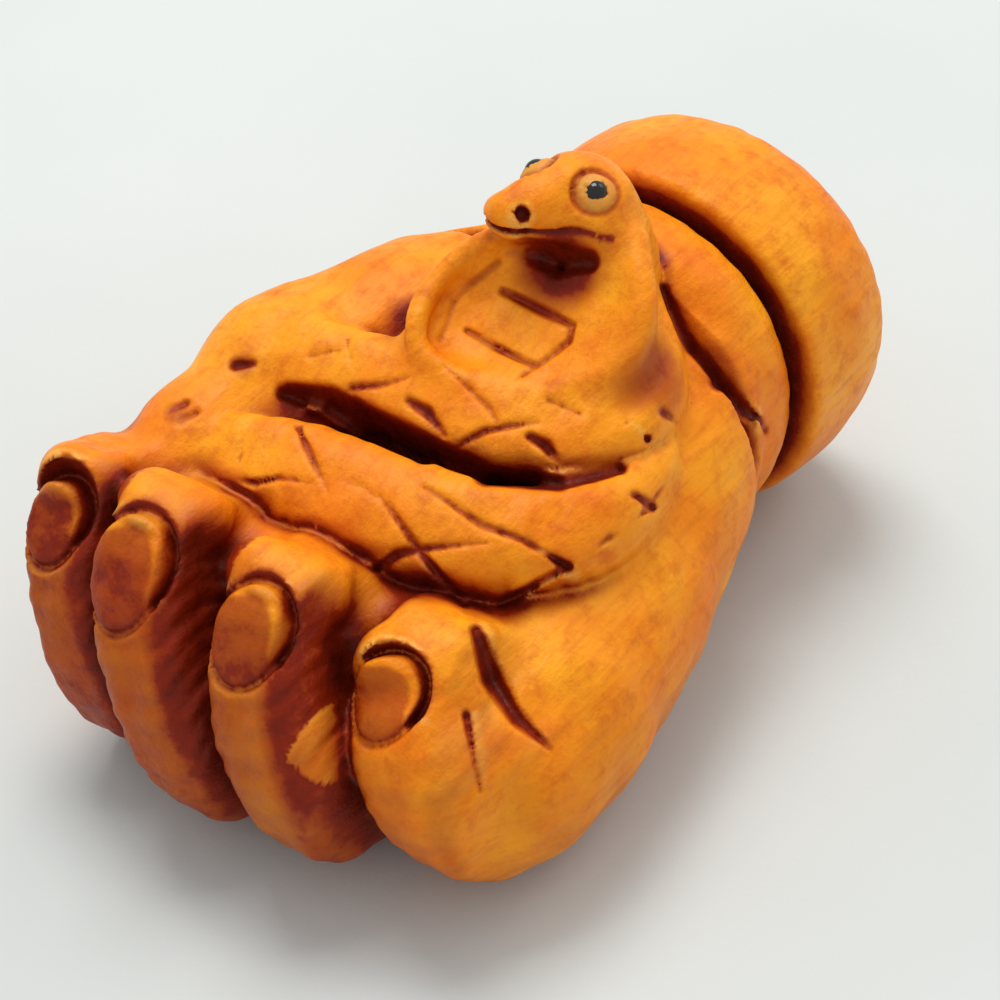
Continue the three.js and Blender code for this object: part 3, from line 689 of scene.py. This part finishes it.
# %% Sampling near the surface
STEP = 0.2
BLOCKS = (12, 6, 3)
CLOSE = 1.6
TILE = 6.0
LOW = np.array([-21.5, -28, -0.8])
HIGH = np.array([17, 27.5, 31.5])


def tiled(distance, points):
    """The distance at each point, tile by tile."""
    points = np.asarray(points, np.float32)
    tiles = np.floor(points / TILE).astype(int)
    tiles -= tiles.min(0)
    spans = tiles.max(0) + 1
    key = (tiles[:, 0] * spans[1] + tiles[:, 1]) * spans[2] + tiles[:, 2]
    order = np.argsort(key, kind="stable")
    starts = np.flatnonzero(np.diff(key[order], prepend=-1))
    out = np.empty(len(points), np.float32)
    for group in np.split(order, starts[1:]):
        out[group] = distance([points[group, i] for i in range(3)])
    return out


def repeated(array, times):
    return array.repeat(times, 0).repeat(times, 1).repeat(times, 2)


def sampled(distance):
    """Values at all grid points: exact near the surface, and a block's middle value far from it."""
    dims = np.ceil((HIGH - LOW) / (STEP * BLOCKS[0])).astype(int)
    known, active = np.zeros(dims, np.float32), np.ones(dims, bool)
    for size, finer in zip(BLOCKS, (*BLOCKS[1:], 1)):
        where = np.argwhere(active)
        known[tuple(where.T)] = tiled(distance, LOW + (where + 0.5) * size * STEP)
        active &= np.abs(known) < size * STEP * CLOSE
        known, active = repeated(known, size // finer), repeated(active, size // finer)
    for axis in range(3):
        rolled = np.roll(active, 1, axis)
        active |= rolled
    where = np.argwhere(active)
    known[tuple(where.T)] = tiled(distance, LOW + where * STEP)
    print("grid points worked out:", len(where), "of", known.size)
    return known


# %% Laying the net
def surface_net(values):
    """Points and quads of the surface where the values change sign."""
    inside = values < 0
    cut = [slice(None, -1), slice(1, None)]
    count = sum(inside[cut[i], cut[j], cut[k]].astype(np.int8) for i, j, k in product((0, 1), repeat=3))
    cells = np.argwhere((count > 0) & (count < 8))
    number = np.full(count.shape, -1, np.int32)
    number[tuple(cells.T)] = np.arange(len(cells))
    total, crossings = np.zeros((len(cells), 3)), np.zeros(len(cells))
    for axis, u, v in product(range(3), (0, 1), (0, 1)):
        start = cells.copy()
        start[:, (axis + 1) % 3] += u
        start[:, (axis + 2) % 3] += v
        end = start.copy()
        end[:, axis] += 1
        a, b = values[tuple(start.T)], values[tuple(end.T)]
        crossed = (a < 0) != (b < 0)
        point = start[crossed].astype(float)
        point[:, axis] += a[crossed] / (a[crossed] - b[crossed])
        total[crossed] += point
        crossings[crossed] += 1
    points = LOW + total / crossings[:, None] * STEP
    quads = []
    for axis in range(3):
        here = [slice(1, -1)] * 3
        ahead = list(here)
        here[axis], ahead[axis] = slice(0, -1), slice(1, None)
        change = inside[tuple(here)].astype(np.int8) - inside[tuple(ahead)]
        for sense in (1, -1):
            edge = np.argwhere(change == sense)
            edge[:, (axis + 1) % 3] += 1
            edge[:, (axis + 2) % 3] += 1
            corners = []
            for u, v in ((-1, -1), (0, -1), (0, 0), (-1, 0))[::sense]:
                cell = edge.copy()
                cell[:, (axis + 1) % 3] += u
                cell[:, (axis + 2) % 3] += v
                corners.append(number[tuple(cell.T)])
            quads.append(np.stack(corners, 1))
    return points, np.concatenate(quads)


net_points, net_quads = surface_net(sampled(carving_distance))
print("net:", len(net_points), "points and", len(net_quads), "quads")

# %% [markdown]
# ## The carving as a Blender mesh
# The net has more faces than the look needs, so it's thinned, which keeps small faces where the form turns.

# %% Build and thin the mesh
FACES_KEPT = 190_000


def made_mesh(name, points, faces):
    mesh = bpy.data.meshes.new(name)
    mesh.from_pydata([], [], [])
    mesh.vertices.add(len(points))
    mesh.vertices.foreach_set("co", (np.asarray(points, np.float32) * MM).ravel())
    mesh.loops.add(faces.size)
    mesh.loops.foreach_set("vertex_index", faces.astype(np.int32).ravel())
    mesh.polygons.add(len(faces))
    mesh.polygons.foreach_set("loop_start", np.arange(0, faces.size, faces.shape[1], dtype=np.int32))
    mesh.update(calc_edges=True)
    mesh.validate()
    piece = bpy.data.objects.new(name, mesh)
    bpy.context.scene.collection.objects.link(piece)
    return piece


def applied(piece):
    """The piece with its modifiers worked into its mesh."""
    shape = bpy.data.meshes.new_from_object(piece.evaluated_get(bpy.context.evaluated_depsgraph_get()))
    piece.modifiers.clear()
    piece.data = shape
    return piece


carved = made_mesh("carved_wood", net_points - ORIGIN, net_quads)
thin = carved.modifiers.new("thin", "DECIMATE")
thin.ratio = min(1.0, FACES_KEPT / (2 * len(net_quads)))
applied(carved)
carved.data.polygons.foreach_set("use_smooth", np.ones(len(carved.data.polygons), bool))
print("carved wood:", len(carved.data.polygons), "faces")

# %% [markdown]
# ## Stain, wear and painted shade
# The real netsuke was dipped in a warm stain and then rubbed. The stain stays dark in every cut and hollow,
# and the ridges rub pale. Hollows, deep cuts and undersides are also darkened as painted shade. All of it
# follows from the field. A little way out from a hollow the distance is shorter than the way gone, and a
# little way in from a ridge too.

# %% Hollows, ridges and cuts
HOLLOW_STEPS = ((0.4, 0.2), (0.9, 0.3), (1.8, 0.3), (3.2, 0.2))
RIDGE_STEP = 0.7
CUT_FULL = 0.5


def vertex_data(piece):
    count = len(piece.data.vertices)
    places, facings = np.empty(3 * count, np.float32), np.empty(3 * count, np.float32)
    piece.data.vertices.foreach_get("co", places)
    piece.data.vertices.foreach_get("normal", facings)
    return places.reshape(-1, 3) / MM + ORIGIN, facings.reshape(-1, 3)


def hollows(places, facings):
    """How shut in each place is, from 0 in the open."""
    shut = np.zeros(len(places))
    for step, weight in HOLLOW_STEPS:
        shut += weight * clamp01(1 - tiled(carving_distance, places + step * facings) / step)
    return shut


def ridges(places, facings):
    """How sharply the wood turns outwards, from 0 on a flat."""
    return clamp01(1 + tiled(carving_distance, places - RIDGE_STEP * facings) / RIDGE_STEP)


places, facings = vertex_data(carved)
shut, ridge = hollows(places, facings), ridges(places, facings)
# Cuts darken with depth: stain in the fine cuts, and painted shade as well in the deep groove between the
# coils, under the lower coil and in the throat.
cut = clamp01(tiled(cut_depth, places) / CUT_FULL)
print("hollows up to", round(float(shut.max()), 2), "and ridges up to", round(float(ridge.max()), 2))

# %% [markdown]
# Some places are darker than their shape explains. In the throat, the groove between the coils, the gaps by
# the hood and the tail, the heel and the coil's lower flank this is painted shade. On the hood's outer side
# it is stain and painted shade, and in the pits by the thumb it is stain. Each is a round patch with a soft
# edge. The fingers' right flanks get stain and painted shade and their fronts painted shade, the troughs over
# the nails get painted shade, and the nail plates and the face get stain, each by rules of their own.

# %% Stained and shaded patches
# Painted shade: throat, throat_deep, gap_by_the_hood, the coil grooves, tail_gap, coil_flank, coil_flank_end
# and heel. Stain and painted shade: hood_side. Stain: the two pits.
PATCHES = {
    "throat": ((0.8, 3.6, 24.8), 3.4, 0.9),
    "throat_deep": ((0.7, 3.9, 25.2), 2.4, 0.95),
    "hood_side": ((7.4, 2.6, 21.0), 3.4, 0.6),
    "gap_by_the_hood": ((-6.6, -0.6, 20.6), 2.0, 1.0),
    "coil_groove_left": ((-5.4, -7.6, 18.4), 2.6, 0.5),
    "coil_groove_middle": ((-1.6, -7.4, 17.8), 2.6, 0.5),
    "coil_groove_right": ((2.2, -7.4, 18.0), 2.4, 0.45),
    "pit_by_the_thumb": ((-12.7, -8.6, 19.2), 1.2, 0.6),
    "pit_by_the_index": ((-13.6, -13.3, 18.6), 1.2, 0.5),
    "tail_gap": ((-9.4, -8.4, 18.2), 1.3, 0.95),
    "coil_flank": ((4.2, -14.6, 14.9), 2.8, 0.75),
    "coil_flank_end": ((8.2, -12.2, 13.8), 1.8, 0.5),
    "heel": ((8.2, 8.4, 17.8), 2.2, 0.45),
}
PATCH_EDGE = 1.6
# WALL and FRONT darken the fingers: stain and painted shade on the right flanks, painted shade on the fronts.
WALL = {"before": -17.0, "fade": 2.5, "below_tip": 4, "from": 0.3, "slope": 1.2, "strength": 0.75}
FRONT = {"strength": 0.5, "ends_at": 8}
NAIL_PLATE_STAIN = {"strength": 0.5, "free_edge": 0.45, "fade": 0.2, "reach": 1.4}
# Painted shade in the trough over each nail's free edge.
TROUGH_SHADE = {
    "strength": 0.7,
    "below": -0.15,
    "reach": 2.5,
    "inner_fade": 0.15,
    "outer_fade": 0.3,
    "hollow": 3,
}
MOUTH_STAIN = {"strength": 0.9, "spread": 1.3}
PIT_STAIN = {"past": 0.15, "fade": 0.12}
EYE_STAIN = {"inside": 0.3, "fade": 0.1, "ring": 0.6, "spread": 1.2}


def patch_stain_and_shade(places):
    left = np.ones(len(places))
    for centre, radius, strength in PATCHES.values():
        away = np.linalg.norm(places - centre, axis=1) / radius
        left *= 1 - strength * clamp01(PATCH_EDGE * (1 - away))
    return 1 - left


def finger_stain_and_shade(places, facings):
    """Stain and painted shade on the first three fingers' right flanks, and weaker painted shade on the
    fronts.
    """
    x, y, z = places.T
    walls, offs = np.zeros(len(places)), []
    for finger in FINGERS.values():
        knuckle_x, knuckle_z = finger["knuckle"]
        share = clamp01((z - knuckle_z) / (finger["height"] - WALL["below_tip"] - knuckle_z))
        offs.append((x - knuckle_x - (finger["tip_x"] - knuckle_x) * share) / finger["half_width"])
    for off, next_off in zip(offs[:-1], offs[1:]):
        walls = np.maximum(walls, clamp01(WALL["slope"] * (off - WALL["from"])) * (next_off < -1))
    front = clamp01((WALL["before"] - y) / WALL["fade"])
    # Painted shade on faces that turn to the front.
    fronts = FRONT["strength"] * clamp01(-facings[:, 1]) * clamp01((FRONT["ends_at"] - x) / FRONT["ends_at"])
    return front * np.maximum(WALL["strength"] * walls, fronts)


def nail_stain_and_trough_shade(places, shut):
    stain = np.zeros(len(places))
    for nail in NAILS:
        _, out, edge, share, wide = nail_frame(places.T, nail)
        # Painted shade in the trough. The plate below gets the nail's own darker colour.
        inner = clamp01(edge / TROUGH_SHADE["inner_fade"])
        outer = clamp01((wide - edge) / TROUGH_SHADE["outer_fade"])
        trough = inner * outer * (out < TROUGH_SHADE["below"]) * (np.abs(out) < TROUGH_SHADE["reach"])
        stain = np.maximum(stain, TROUGH_SHADE["strength"] * trough * clamp01(TROUGH_SHADE["hollow"] * shut))
        inside = -edge - NAIL_PLATE_STAIN["free_edge"] * clamp01(2 * share)
        plate = clamp01(inside / NAIL_PLATE_STAIN["fade"]) * (np.abs(out) < NAIL_PLATE_STAIN["reach"])
        stain = np.maximum(stain, NAIL_PLATE_STAIN["strength"] * plate)
    return stain


def face_stain(places):
    """The cobra's mouth, its nostrils, its ear dots and the rings round its eyes."""
    u, v, w = to_head(places.T)
    near = length(u, v, w) < REACH
    line = clamp01(MOUTH_STAIN["spread"] - np.abs(w - between(v, MOUTH["v"], MOUTH["w"])) / MOUTH["wide"])
    stain = MOUTH_STAIN["strength"] * line * (v < MOUTH["v"][-1])
    for pit in (NOSTRIL, EAR_DOT):
        away = length(*(q - c for q, c in zip((np.abs(u), v, w), pit["place"])))
        stain = np.maximum(stain, clamp01((pit["radius"] + PIT_STAIN["past"] - away) / PIT_STAIN["fade"]))
    for place in EYE_PLACES.values():
        away = length(u - place[0], v - place[1], w - place[2])
        inside = EYE_STAIN["inside"] * clamp01((EYE_RING["radius"] - away) / EYE_STAIN["fade"])
        off_ring = np.abs(away - EYE_RING["radius"]) / EYE_RING["wide"]
        ring = EYE_STAIN["ring"] * clamp01(EYE_STAIN["spread"] - off_ring)
        stain = np.maximum(np.maximum(stain, inside), ring)
    return stain * near


# Hollows get stain and painted shade, darker the more shut in they are.
HOLLOW_STAIN_AND_SHADE = 1.5
HOLLOW_FREE = 0.12
# Faces that turn downwards get painted shade.
UNDER_SHADE = 0.45
UNDER_FROM = 0.1
hollow_stain_and_shade = clamp01(HOLLOW_STAIN_AND_SHADE * (shut - HOLLOW_FREE))
under_shade = UNDER_SHADE * clamp01(-facings[:, 2] + UNDER_FROM)
kept_clear = np.ones(len(places))
for stain in (
    hollow_stain_and_shade,
    under_shade,
    cut,
    patch_stain_and_shade(places),
    finger_stain_and_shade(places, facings),
    nail_stain_and_trough_shade(places, shut),
    face_stain(places),
):
    kept_clear *= 1 - stain


def add_attribute(piece, name, values):
    layer = piece.data.attributes.new(name, "FLOAT", "POINT")
    layer.data.foreach_set("value", np.asarray(values, np.float32))


# The stain attribute holds real stain and painted shade together.
add_attribute(carved, "stain", 1 - kept_clear)
add_attribute(carved, "ridge", ridge)
print("mean stain:", round(float(1 - kept_clear.mean()), 2))

# %% [markdown]
# ## Materials
# Boxwood is close-grained, so there are no open pores: the colour is a warm mottle with faint fibres along
# the hand. Each pattern is a noise in millimetres on the piece's own coordinates.


# %% A small kit for materials
class Shader:
    """A material with short ways to add and link its nodes."""

    def __init__(self, name):
        self.material = bpy.data.materials.new(name)
        self.material.use_nodes = True
        self.tree = self.material.node_tree
        self.surface = self.tree.nodes["Principled BSDF"]
        self.place = self.tree.nodes.new("ShaderNodeTexCoord").outputs["Object"]

    def link(self, source, socket):
        if hasattr(source, "links"):
            self.tree.links.new(source, socket)
        else:
            socket.default_value = source

    def node(self, kind, **inputs):
        node = self.tree.nodes.new(kind)
        for name, value in inputs.items():
            self.link(value, node.inputs[name.replace("_", " ")])
        return node

    def noise(self, size_mm, detail=3, stretch=(1, 1, 1), rough=0.55):
        moved = self.node("ShaderNodeMapping", Vector=self.place, Scale=[v / size_mm / MM for v in stretch])
        noise = self.node("ShaderNodeTexNoise", Vector=moved.outputs[0], Scale=1.0, Detail=detail)
        noise.inputs["Roughness"].default_value = rough
        return noise.outputs["Fac"]

    def spread(self, value, low, high, to_low=0.0, to_high=1.0):
        node = self.node("ShaderNodeMapRange", Value=value)
        for name, number in (("From Min", low), ("From Max", high), ("To Min", to_low), ("To Max", to_high)):
            node.inputs[name].default_value = number
        return node.outputs[0]

    def sum(self, a, b, operation="ADD"):
        node = self.tree.nodes.new("ShaderNodeMath")
        node.operation = operation
        node.use_clamp = True
        self.link(a, node.inputs[0])
        self.link(b, node.inputs[1])
        return node.outputs[0]

    def mix(self, share, low, high, blend="MIX"):
        node = self.tree.nodes.new("ShaderNodeMix")
        node.data_type, node.blend_type = "RGBA", blend
        for socket, value in zip((node.inputs[0], node.inputs[6], node.inputs[7]), (share, low, high)):
            self.link(value if hasattr(value, "links") or isinstance(value, float) else (*value, 1), socket)
        return node.outputs[2]

    def attribute(self, name):
        node = self.tree.nodes.new("ShaderNodeAttribute")
        node.attribute_name = name
        return node.outputs["Fac"]

    def bump(self, height, depth_mm, strength=1.0):
        node = self.node("ShaderNodeBump", Height=height)
        node.inputs["Distance"].default_value = depth_mm * MM
        node.inputs["Strength"].default_value = strength
        self.link(node.outputs[0], self.surface.inputs["Normal"])


# %% Stained boxwood
HONEY = (1.0, 0.37, 0.010)
ORANGE = (0.92, 0.22, 0.003)
RUSSET = (0.58, 0.07, 0.002)
PALE = (1.0, 0.56, 0.11)
# The red and near-black colours go where the stain attribute is high: real stain and painted shade together.
RED_STAIN_AND_SHADE = (0.33, 0.02, 0.001)
DARK_STAIN_AND_SHADE = (0.035, 0.002, 0.001)


def stained_boxwood():
    wood = Shader("stained_boxwood")
    blotch = wood.spread(wood.noise(7, detail=4), 0.35, 0.65)
    mottle = wood.spread(wood.noise(1.6, detail=5, rough=0.7), 0.3, 0.7)
    fibre = wood.spread(wood.noise(0.5, detail=4, stretch=(1, 0.12, 1)), 0.3, 0.7)
    colour = wood.mix(blotch, ORANGE, HONEY)
    colour = wood.mix(wood.sum(wood.spread(mottle, 0.45, 1.0), 0.5, "MULTIPLY"), colour, RUSSET)
    colour = wood.mix(wood.sum(wood.spread(fibre, 0.5, 1.0), 0.25, "MULTIPLY"), colour, RUSSET)
    raised, patchy = wood.spread(wood.attribute("ridge"), 0.25, 0.7), wood.spread(mottle, 0.0, 1.0, 1.0, 0.4)
    rubbed = wood.sum(raised, patchy, "MULTIPLY")
    colour = wood.mix(wood.sum(rubbed, 0.75, "MULTIPLY"), colour, PALE)
    ragged = wood.sum(wood.spread(mottle, 0, 1, 0, 0.2), wood.spread(fibre, 0, 1, 0, 0.02))
    # Real stain and painted shade first redden, then blacken the wood.
    stain = wood.sum(wood.attribute("stain"), ragged, "SUBTRACT")
    colour = wood.mix(wood.spread(stain, 0.0, 0.7), colour, RED_STAIN_AND_SHADE)
    colour = wood.mix(wood.spread(stain, 0.6, 1.05), colour, DARK_STAIN_AND_SHADE)
    wood.link(colour, wood.surface.inputs["Base Color"])
    wood.link(wood.spread(mottle, 0, 1, 0.36, 0.52), wood.surface.inputs["Roughness"])
    wood.surface.inputs["Specular IOR Level"].default_value = 0.16
    wood.surface.inputs["Coat Weight"].default_value = 0.03
    wood.surface.inputs["Coat Roughness"].default_value = 0.3
    wood.bump(wood.sum(wood.sum(mottle, 0.5, "MULTIPLY"), wood.sum(fibre, 0.3, "MULTIPLY")), 0.12)
    return wood.material


# %% Black inlay
def black_inlay():
    inlay = Shader("black_inlay")
    cloud = inlay.noise(0.4)
    black_and_brown = inlay.mix(cloud, (0.004, 0.003, 0.003), (0.02, 0.014, 0.01))
    inlay.link(black_and_brown, inlay.surface.inputs["Base Color"])
    inlay.link(inlay.spread(cloud, 0.3, 0.7, 0.08, 0.2), inlay.surface.inputs["Roughness"])
    return inlay.material


boxwood, black = stained_boxwood(), black_inlay()
carved.data.materials.clear()
carved.data.materials.append(boxwood)

# %% [markdown]
# ## Eye beads
# Both eyes come from one Geometry Nodes tree, with a bead's place and radius as its inputs.


# %% Eye beads
def bead_tree():
    tree = bpy.data.node_groups.new("inlaid_bead", "GeometryNodeTree")
    for name, kind in (("Radius", "NodeSocketFloat"), ("Place", "NodeSocketVector")):
        tree.interface.new_socket(name, in_out="INPUT", socket_type=kind)
    tree.interface.new_socket("Geometry", in_out="OUTPUT", socket_type="NodeSocketGeometry")
    start, end = tree.nodes.new("NodeGroupInput"), tree.nodes.new("NodeGroupOutput")
    ball = tree.nodes.new("GeometryNodeMeshIcoSphere")
    ball.inputs["Subdivisions"].default_value = 4
    point = tree.nodes.new("GeometryNodePoints")
    place = tree.nodes.new("GeometryNodeInstanceOnPoints")
    smooth = tree.nodes.new("GeometryNodeSetShadeSmooth")
    real = tree.nodes.new("GeometryNodeRealizeInstances")
    paint = tree.nodes.new("GeometryNodeSetMaterial")
    paint.inputs["Material"].default_value = black
    for source, target in (
        (start.outputs["Radius"], ball.inputs["Radius"]),
        (start.outputs["Place"], point.inputs["Position"]),
        (point.outputs[0], place.inputs["Points"]),
        (ball.outputs["Mesh"], place.inputs["Instance"]),
        (place.outputs[0], real.inputs[0]),
        (real.outputs[0], smooth.inputs[0]),
        (smooth.outputs[0], paint.inputs["Geometry"]),
        (paint.outputs[0], end.inputs[0]),
    ):
        tree.links.new(source, target)
    return tree


def bead(name, tree, centre, radius):
    piece = bpy.data.objects.new(name, bpy.data.meshes.new(name))
    bpy.context.scene.collection.objects.link(piece)
    maker = piece.modifiers.new("bead", "NODES")
    maker.node_group = tree
    sockets = {item.name: item.identifier for item in tree.interface.items_tree if item.in_out == "INPUT"}
    maker[sockets["Radius"]] = radius * MM
    maker[sockets["Place"]] = tuple((centre - ORIGIN) * MM)
    return applied(piece)


tree = bead_tree()
for node, place in EYE_PLACES.items():
    eye = bead(node + "_bead", tree, from_head(*place), EYE["radius"])
    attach(eye, "root")
    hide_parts(node)
    print(eye.name, len(eye.data.polygons), "faces")

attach(carved, "root")
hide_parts("carving")

# %% [markdown]
# ## Table, light and camera

# %% Table top
def table_top():
    board = Shader("table_top")
    cloud = board.spread(board.noise(60, detail=4), 0.3, 0.7)
    grain = board.noise(0.8, detail=4)
    board.link(board.mix(cloud, (0.63, 0.655, 0.63), (0.68, 0.70, 0.68)), board.surface.inputs["Base Color"])
    board.surface.inputs["Roughness"].default_value = 0.7
    board.bump(grain, 0.02)
    return board.material


bpy.ops.mesh.primitive_plane_add(size=3)
table = bpy.context.object
table.name = "table"
table.data.materials.append(table_top())

# %% Lights
bpy.context.scene.view_settings.view_transform = "Standard"
world = bpy.data.worlds.new("studio")
bpy.context.scene.world = world
world.use_nodes = True
world.node_tree.nodes["Background"].inputs["Color"].default_value = (0.97, 1, 1, 1)
world.node_tree.nodes["Background"].inputs["Strength"].default_value = 0.64


def soft_light(name, place, size, power, colour=(1, 1, 1)):
    light = bpy.data.lights.new(name, "AREA")
    light.shape, light.size, light.energy, light.color = "SQUARE", size, power, colour
    lamp = bpy.data.objects.new(name, light)
    lamp.location = place
    lamp.rotation_mode = "QUATERNION"
    lamp.rotation_quaternion = (Vector((0, 0, 0.01)) - Vector(place)).to_track_quat("-Z", "Y")
    bpy.context.scene.collection.objects.link(lamp)
    return lamp


soft_light("key", (-0.15, 0.12, 0.46), 0.24, 1.45)
soft_light("window", (0.10, 0.30, 0.30), 0.20, 0.2)

# %% Camera
CAMERA = {
    "azimuth": 36,
    "elevation": 42,
    "distance": 0.165,
    "view": 20.3,
    "target": (0.00055, 0.00023, 0.0095),
}
SENSOR = 36
azimuth, elevation = math.radians(CAMERA["azimuth"]), math.radians(CAMERA["elevation"])
back = Vector(
    (
        math.sin(azimuth) * math.cos(elevation),
        -math.cos(azimuth) * math.cos(elevation),
        math.sin(elevation),
    )
)
lens = bpy.data.cameras.new("camera")
lens.sensor_width = SENSOR
lens.lens = SENSOR / 2 / math.tan(math.radians(CAMERA["view"]) / 2)
lens.clip_start, lens.clip_end = 0.01, 10
camera = bpy.data.objects.new("camera", lens)
bpy.context.scene.collection.objects.link(camera)
camera.location = Vector(CAMERA["target"]) + CAMERA["distance"] * back
camera.rotation_mode = "QUATERNION"
camera.rotation_quaternion = (-back).to_track_quat("-Z", "Y")
bpy.context.scene.camera = camera
